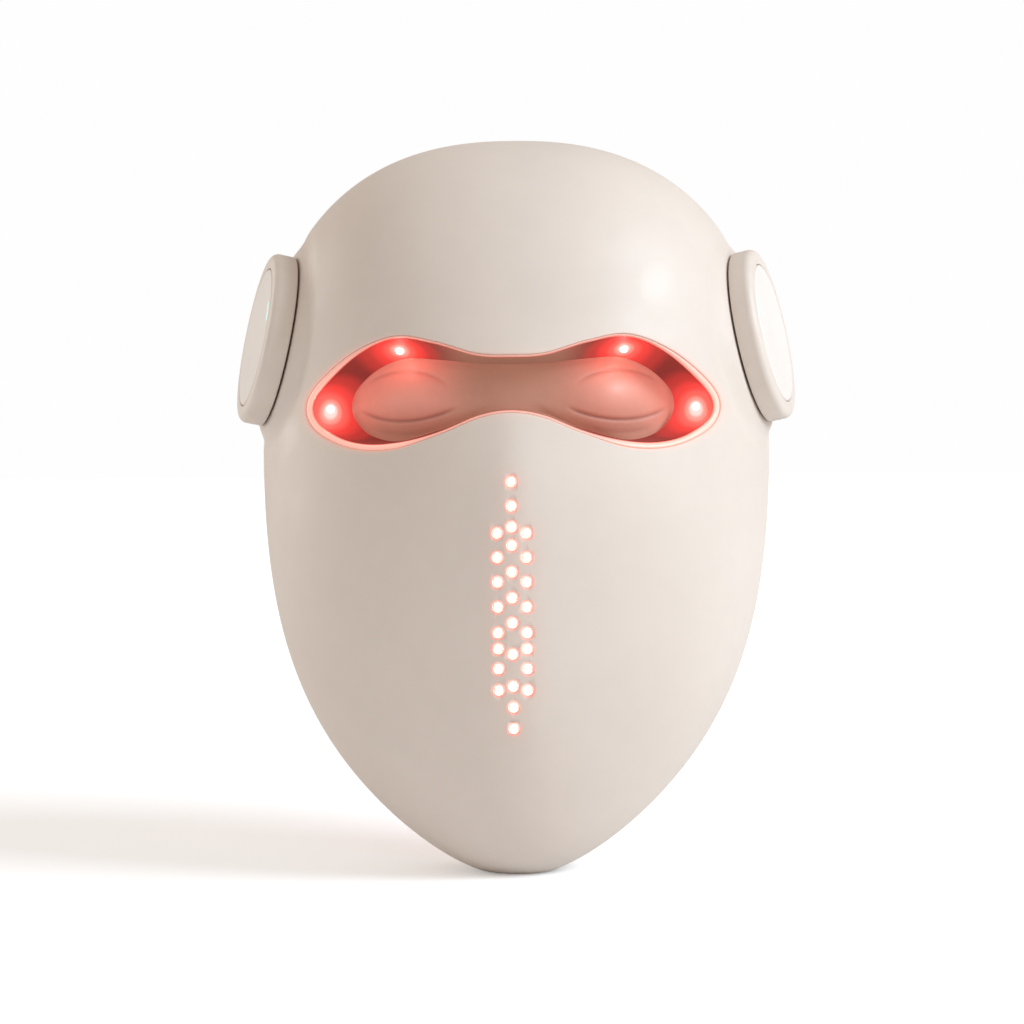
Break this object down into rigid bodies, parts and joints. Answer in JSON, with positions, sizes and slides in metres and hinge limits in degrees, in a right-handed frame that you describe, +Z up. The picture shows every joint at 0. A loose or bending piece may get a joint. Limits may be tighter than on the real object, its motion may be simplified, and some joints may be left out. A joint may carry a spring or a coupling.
{
  "type": "led face mask",
  "caption": "Rigid wrap-around light therapy face mask with a goggle-shaped lit opening, nose lights and two swivelling temple pods with push-button covers.",
  "frame": {"origin": "bottom centre of the bounding box, on the surface the chin stands on", "axes": "+Z up, the front of the mask looks along -Y, +X is the viewer's right"},
  "size_m": [0.1816, 0.1169, 0.225],
  "materials": {
    "oat_plastic": "fine matt moulded, soft touch",
    "cover_plastic": "fine matt moulded",
    "glow_silicone": "translucent, lit from behind",
    "red_lit_plastic": "satin, lit red",
    "lit_lens": "clear domed lens, lit",
    "shield_silicone": "soft matt silicone",
    "frosted_plastic": "frosted translucent",
    "white_board": "solder-masked board",
    "pad_silicone": "soft matt silicone",
    "grey_rubber": "matt rubber",
    "steel": "plain",
    "green_board": "solder-masked board",
    "foil": "foil pouch",
    "teal_light": "lit light pipe",
    "gold": "plated"
  },
  "bodies": {
    "mask": {"outer_shell": "oat_plastic", "eye_rim": "glow_silicone", "eye_bezel": "red_lit_plastic", "eye_led_upper_left": "lit_lens", "eye_led_outer_left": "lit_lens", "eye_led_upper_right": "lit_lens", "eye_led_outer_right": "lit_lens", "eye_shield": "shield_silicone", "face_panel": "frosted_plastic", "nose_lens_strip": "glow_silicone", "nose_led_board": "white_board", "forehead_led_board": "white_board", "left_cheek_led_board": "white_board", "right_cheek_led_board": "white_board", "chin_led_board": "white_board", "left_ribbon_cable": "grey_rubber", "right_ribbon_cable": "grey_rubber", "forehead_pad": "pad_silicone", "nose_pad": "pad_silicone", "left_cheek_pad": "pad_silicone", "right_cheek_pad": "pad_silicone", "chin_pad": "pad_silicone", "edge_seal": "grey_rubber", "panel_screw_1": "steel", "panel_screw_2": "steel", "panel_screw_3": "steel", "panel_screw_4": "steel", "panel_screw_5": "steel", "panel_screw_6": "steel", "left_pivot_washer": "steel", "right_pivot_washer": "steel"},
    "left_pod": {"left_pod_housing": "oat_plastic", "left_pod_base": "oat_plastic", "left_pivot_clip": "steel", "left_pod_board": "green_board", "left_battery": "foil", "left_button_switch": "green_board"},
    "right_pod": {"right_pod_housing": "oat_plastic", "right_pod_base": "oat_plastic", "right_pivot_clip": "steel", "right_pod_board": "green_board", "right_battery": "foil", "right_button_switch": "green_board", "charge_contact_front": "gold", "charge_contact_rear": "gold"},
    "left_button": {"left_button_cover": "cover_plastic", "left_indicator": "teal_light"},
    "right_button": {"right_button_cover": "cover_plastic", "right_indicator": "teal_light"}
  },
  "joints": [
    {"name": "left_pod_swivel", "type": "hinge", "parent": "mask", "child": "left_pod", "pos_m": [-0.0735, 0.0107, 0.163], "axis": [-0.9462, -0.2535, 0.2011], "range_deg": [-15, 15]},
    {"name": "right_pod_swivel", "type": "hinge", "parent": "mask", "child": "right_pod", "pos_m": [0.0735, 0.0107, 0.163], "axis": [0.9462, -0.2535, 0.2011], "range_deg": [-15, 15]},
    {"name": "left_button_press", "type": "slide", "parent": "left_pod", "child": "left_button", "axis": [0.9462, 0.2535, -0.2011], "range_m": [0, 0.0008], "stiffness_N_per_m": 1500, "springref_m": -0.0004},
    {"name": "right_button_press", "type": "slide", "parent": "right_pod", "child": "right_button", "axis": [-0.9462, 0.2535, -0.2011], "range_m": [0, 0.0008], "stiffness_N_per_m": 1500, "springref_m": -0.0004}
  ]
}
